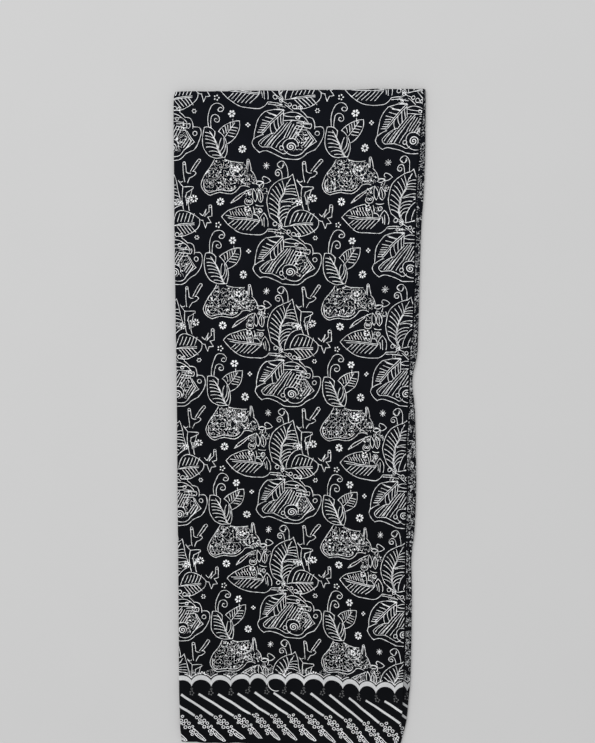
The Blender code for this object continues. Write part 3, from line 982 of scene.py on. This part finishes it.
def print_group():
    """The whole print as a node group: the cloth's coordinates in, and how much ink is bare out."""
    tree = bpy.data.node_groups.new("batik_print", "ShaderNodeTree")
    tree.interface.new_socket("Cloth", in_out="INPUT", socket_type="NodeSocketVector")
    tree.interface.new_socket("Border", in_out="INPUT", socket_type="NodeSocketVector")
    tree.interface.new_socket("Pale", in_out="OUTPUT", socket_type="NodeSocketFloat")
    start = tree.nodes.new("NodeGroupInput")
    finish = tree.nodes.new("NodeGroupOutput")
    pen = Pen(tree)
    millimetres = pen.vector("MULTIPLY", start.outputs["Cloth"], (1000.0, 1000.0, 0.0))
    _, wobble = pen.noise(millimetres, 26.0, 0.5)
    centred = pen.vector("SUBTRACT", wobble, (0.5, 0.5, 0.5))
    point = pen.vector("MULTIPLY_ADD", centred, (3.0, 3.0, 0.0), millimetres)
    lower = pen.vector("MULTIPLY", start.outputs["Border"], (1000.0, 1000.0, 0.0))
    edging = pen.vector("MULTIPLY_ADD", centred, (1.6, 1.6, 0.0), lower)
    nib, _ = pen.noise(millimetres, 5.0, 0.0)
    pen.half = pen.math("MULTIPLY_ADD", nib, 0.46, 0.145)

    def drawn(name, draw, place):
        node = tree.nodes.new("ShaderNodeGroup")
        node.node_tree = motif_group(name, draw)
        tree.links.new(place, node.inputs["Point"])
        tree.links.new(pen.half, node.inputs["Half"])
        pen.add(node.outputs["Ink"])

    for name in RUNS:
        drawn(name, draw_motif(name), point)
    drawn("round_marks", draw_round_marks, point)
    drawn("stipple", draw_stipple, point)
    across, _ = pen.split(millimetres)
    from_panel = pen.math("ABSOLUTE", pen.math("SUBTRACT", across, PANEL))
    outside = pen.math("GREATER_THAN", from_panel, PANEL_HALF)
    # A bare strip 2.5 mm wide lies just inside both sides of the head panel, with neither stipple nor
    # motifs. Along the top layer's edge it is painted shadow.
    clear_of_painted_shadow = pen.math("LESS_THAN", from_panel, PANEL_HALF - 2.5)
    motifs = pen.math("MULTIPLY", pen.math("MINIMUM", pen.ink, 1.0), outside)
    pen.ink = None
    drawn("panel", draw_panel, point)
    field = pen.math("MULTIPLY_ADD", pen.ink, clear_of_painted_shadow, motifs)
    pen.ink = None
    drawn("band", draw_band, edging)
    drawn("stripes", draw_stripes, edging)
    drawn("chain", draw_chain, edging)
    crest = VALLEY + SCALLOP / 2
    local = pen.window(edging, crest, 0.0, (SCALLOP, FAR))
    outer = pen.vector("DISTANCE", local, (crest, BAND_OUTER, 0.0))
    _, y = pen.split(edging)
    above = pen.math("GREATER_THAN", y, FIELD_FOOT)
    clear = pen.math("MULTIPLY", pen.math("GREATER_THAN", outer, FIELD_GAP), above)
    border = pen.math("MINIMUM", pen.ink, 1.0)
    pale = pen.math("MULTIPLY_ADD", field, clear, border, clamp=True)
    tree.links.new(pale, finish.inputs["Pale"])
    return tree


def cloth_material(name, group, grounds_with_sheen, pale, seed):
    """Dyed cotton: the print, uneven dyeing, a ground colour that grows lighter and bluer along the strip
    as painted sheen, a fine plain weave and a soft dry finish.
    """
    material = bpy.data.materials.new(name)
    material.use_nodes = True
    tree = material.node_tree
    shader = tree.nodes["Principled BSDF"]
    pen = Pen(tree)
    cloth = tree.nodes.new("ShaderNodeUVMap")
    cloth.uv_map = "cloth"
    printed = tree.nodes.new("ShaderNodeGroup")
    printed.node_tree = group
    tree.links.new(cloth.outputs["UV"], printed.inputs["Cloth"])
    border = tree.nodes.new("ShaderNodeUVMap")
    border.uv_map = "border"
    tree.links.new(border.outputs["UV"], printed.inputs["Border"])
    scaled = pen.vector("MULTIPLY_ADD", cloth.outputs["UV"], (1000.0, 1000.0, 0.0), (seed, seed, 0.0))
    uneven, _ = pen.noise(scaled, 42.0, 4.0)
    slubs, _ = pen.noise(pen.vector("MULTIPLY", scaled, (1.0, 0.18, 0.0)), 1.6)
    tone = pen.math("MULTIPLY_ADD", uneven, 0.50, 0.62)
    tone = pen.math("MULTIPLY_ADD", slubs, 0.25, tone)
    colour = tree.nodes.new("ShaderNodeMix")
    colour.data_type = "RGBA"
    tree.links.new(printed.outputs[0], colour.inputs["Factor"])
    # Painted sheen: the ground colour runs from the darker one at the border to a lighter, bluer one at the
    # other end.
    ground = tree.nodes.new("ShaderNodeMix")
    ground.data_type = "RGBA"
    _, along = pen.split(cloth.outputs["UV"])
    tree.links.new(pen.math("DIVIDE", along, LENGTH, clamp=True), ground.inputs["Factor"])
    for socket, dye_and_sheen in zip("AB", grounds_with_sheen):
        ground.inputs[socket].default_value = (*dye_and_sheen, 1.0)
    tree.links.new(ground.outputs["Result"], colour.inputs["A"])
    colour.inputs["B"].default_value = (*pale, 1.0)
    toned = tree.nodes.new("ShaderNodeVectorMath")
    toned.operation = "SCALE"
    tree.links.new(colour.outputs["Result"], toned.inputs[0])
    tree.links.new(tone, toned.inputs["Scale"])
    tree.links.new(toned.outputs["Vector"], shader.inputs["Base Color"])
    rough = pen.math("MULTIPLY_ADD", slubs, 0.16, 0.76)
    tree.links.new(rough, shader.inputs["Roughness"])
    shader.inputs["Specular IOR Level"].default_value = 0.04
    shader.inputs["Sheen Weight"].default_value = 0.01
    shader.inputs["Sheen Roughness"].default_value = 0.5
    warp, weft = pen.split(scaled)
    threads = pen.math(
        "MULTIPLY",
        pen.math("SINE", pen.math("MULTIPLY", warp, math.tau / 0.56)),
        pen.math("SINE", pen.math("MULTIPLY", weft, math.tau / 0.60)),
    )
    height = pen.math("MULTIPLY_ADD", slubs, 0.8, threads)
    bump = tree.nodes.new("ShaderNodeBump")
    bump.inputs["Strength"].default_value = 0.5
    bump.inputs["Distance"].default_value = 0.00006
    tree.links.new(height, bump.inputs["Height"])
    tree.links.new(bump.outputs["Normal"], shader.inputs["Normal"])
    return material


def floor_material():
    material = bpy.data.materials.new("pale_floor")
    material.use_nodes = True
    tree = material.node_tree
    shader = tree.nodes["Principled BSDF"]
    grain = tree.nodes.new("ShaderNodeTexNoise")
    grain.inputs["Scale"].default_value = 90.0
    ramp = tree.nodes.new("ShaderNodeMapRange")
    tree.links.new(grain.outputs["Fac"], ramp.inputs["Value"])
    ramp.inputs["To Min"].default_value = 0.598
    ramp.inputs["To Max"].default_value = 0.610
    tree.links.new(ramp.outputs["Result"], shader.inputs["Base Color"])
    shader.inputs["Roughness"].default_value = 0.95
    shader.inputs["Specular IOR Level"].default_value = 0.0
    return material


def make_floor():
    mesh = bpy.data.meshes.new("floor")
    half = 6.0
    corners = [(-half, -half, 0), (half, -half, 0), (half, half, 0), (-half, half, 0)]
    mesh.from_pydata(corners, [], [(0, 1, 2, 3)])
    floor = bpy.data.objects.new("floor", mesh)
    floor.location.z = -0.0002
    mesh.materials.append(floor_material())
    bpy.context.scene.collection.objects.link(floor)
    return floor


def make_lights():
    world = bpy.data.worlds.new("studio")
    world.use_nodes = True
    sky = world.node_tree.nodes["Background"]
    sky.inputs["Color"].default_value = (1.0, 1.0, 1.0, 1.0)
    sky.inputs["Strength"].default_value = 0.65
    bpy.context.scene.world = world
    lamp = bpy.data.lights.new("softbox", "AREA")
    lamp.shape = "RECTANGLE"
    lamp.size, lamp.size_y = 6.6, 5.3
    lamp.energy = 252.0
    box = bpy.data.objects.new("softbox", lamp)
    box.location = (-2.0, 3.3, 5.7)
    box.rotation_euler = (math.radians(-30), math.radians(-18), 0)
    bpy.context.scene.collection.objects.link(box)


def make_camera():
    """The photo's view: nearly straight down, from above the upper middle of the strip."""
    camera = bpy.data.cameras.new("photo_view")
    camera.sensor_fit = "VERTICAL"
    camera.sensor_height = 36.0
    camera.lens = 38.8
    camera.clip_start = 0.01
    eye = bpy.data.objects.new("photo_view", camera)
    across, along, above = CAMERA
    top = layer_middle(1) + HALF_WALL
    eye.location = (across - WIDTH / 2, along - LENGTH / 2, top + above)
    eye.rotation_euler = tuple(map(math.radians, CAMERA_TILT))
    bpy.context.scene.collection.objects.link(eye)
    bpy.context.scene.camera = eye


def nothing(*_):
    return 0.0


def unmoved(across, along):
    return 0 * across, 0 * along


def beside_edge(across, along):
    """The under layer's print runs beside the top layer's edge, so the head panel's bare margin lies along
    that edge as painted shadow.
    """
    return many(EDGE_ROWS, EDGE_COLUMNS, "top_right", along) - PRINT_EDGE + 0 * across, 0 * along


def bare_hem(across, along):
    """The hidden layers' lowest edge shows under the arch, and carries no print."""
    return 0 * across, HEM_SHIFT * (1 - eased(1000 * along, *HEM))


def main():
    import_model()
    stations = [0.0] + spread(0.002, LENGTH - 0.002, 230) + [LENGTH]
    coarse = [0.0] + spread(0.004, LENGTH - 0.004, 120) + [LENGTH]
    group = print_group()
    # The top layer's print colour is the cloth's own. The under and inner layers get darker copies of it,
    # as painted shade for the cloth lying beneath the top layer.
    top_cloth = cloth_material("batik_top", group, GROUNDS_WITH_PAINTED_SHEEN, (0.88, 0.89, 0.90), 3.0)
    under_cloth = cloth_material("batik_under_painted_shade", group, GROUNDS_WITH_PAINTED_SHEEN, (0.52, 0.53, 0.54), 9.0)
    inner_cloth = cloth_material("batik_inner_painted_shade", group, GROUNDS_WITH_PAINTED_SHEEN, (0.70, 0.71, 0.72), 15.0)

    def top_height(across, along, height, station):
        swells = mounds(SWELL_ROWS, across, along, station) * (height > layer_middle(3))
        return swells + mounds(CREASE_ROWS, across, along, station) * (height > layer_middle(2) + GAP)

    def inner_height(across, along, height, station):
        return mounds(SWELL_ROWS, across, along, station) * (height > layer_middle(3) + HALF_WALL)

    def from_top(path):
        index = next(i for i, point in enumerate(path) if point[3] > 0.999)
        return path[index][0], index, 1.0

    def from_layer_3(path):
        return path[-1][0] + LAYER_3, len(path) - 1, -1.0

    def from_layer_2(path):
        return LAYER_2 - path[0][0], 0, 1.0

    def from_layer_4(path):
        return LAYER_4 - path[0][0], 0, -1.0

    slid = field_slide, border_drift
    still = unmoved, bare_hem
    beside = beside_edge, beside_edge
    top = shell("top_fold_cloth", top_path, from_top, stations, arch, top_height, slid, 0.0003)
    under = shell("under_fold_cloth", under_path, from_layer_3, coarse, nothing, nothing, beside, 0.0004)
    path, start = upper_inner_path, from_layer_2
    upper = shell("upper_inner_cloth", path, start, coarse, nothing, inner_height, still, 0.0009)
    path, start = lower_inner_path, from_layer_4
    lower = shell("lower_inner_cloth", path, start, coarse, nothing, nothing, still, 0.0010)
    for piece, material, node, slot in (
        (top, top_cloth, "top_fold", "printed_cloth_top"),
        (under, under_cloth, "under_fold", "printed_cloth_under"),
        (upper, inner_cloth, "inner_layers", "printed_cloth_inner"),
        (lower, inner_cloth, "inner_layers", "printed_cloth_inner"),
    ):
        piece.data.materials.append(material)
        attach(piece, "root")
        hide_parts(node)
    make_floor()
    make_lights()
    make_camera()
    bpy.context.scene.view_settings.view_transform = "Standard"


main()
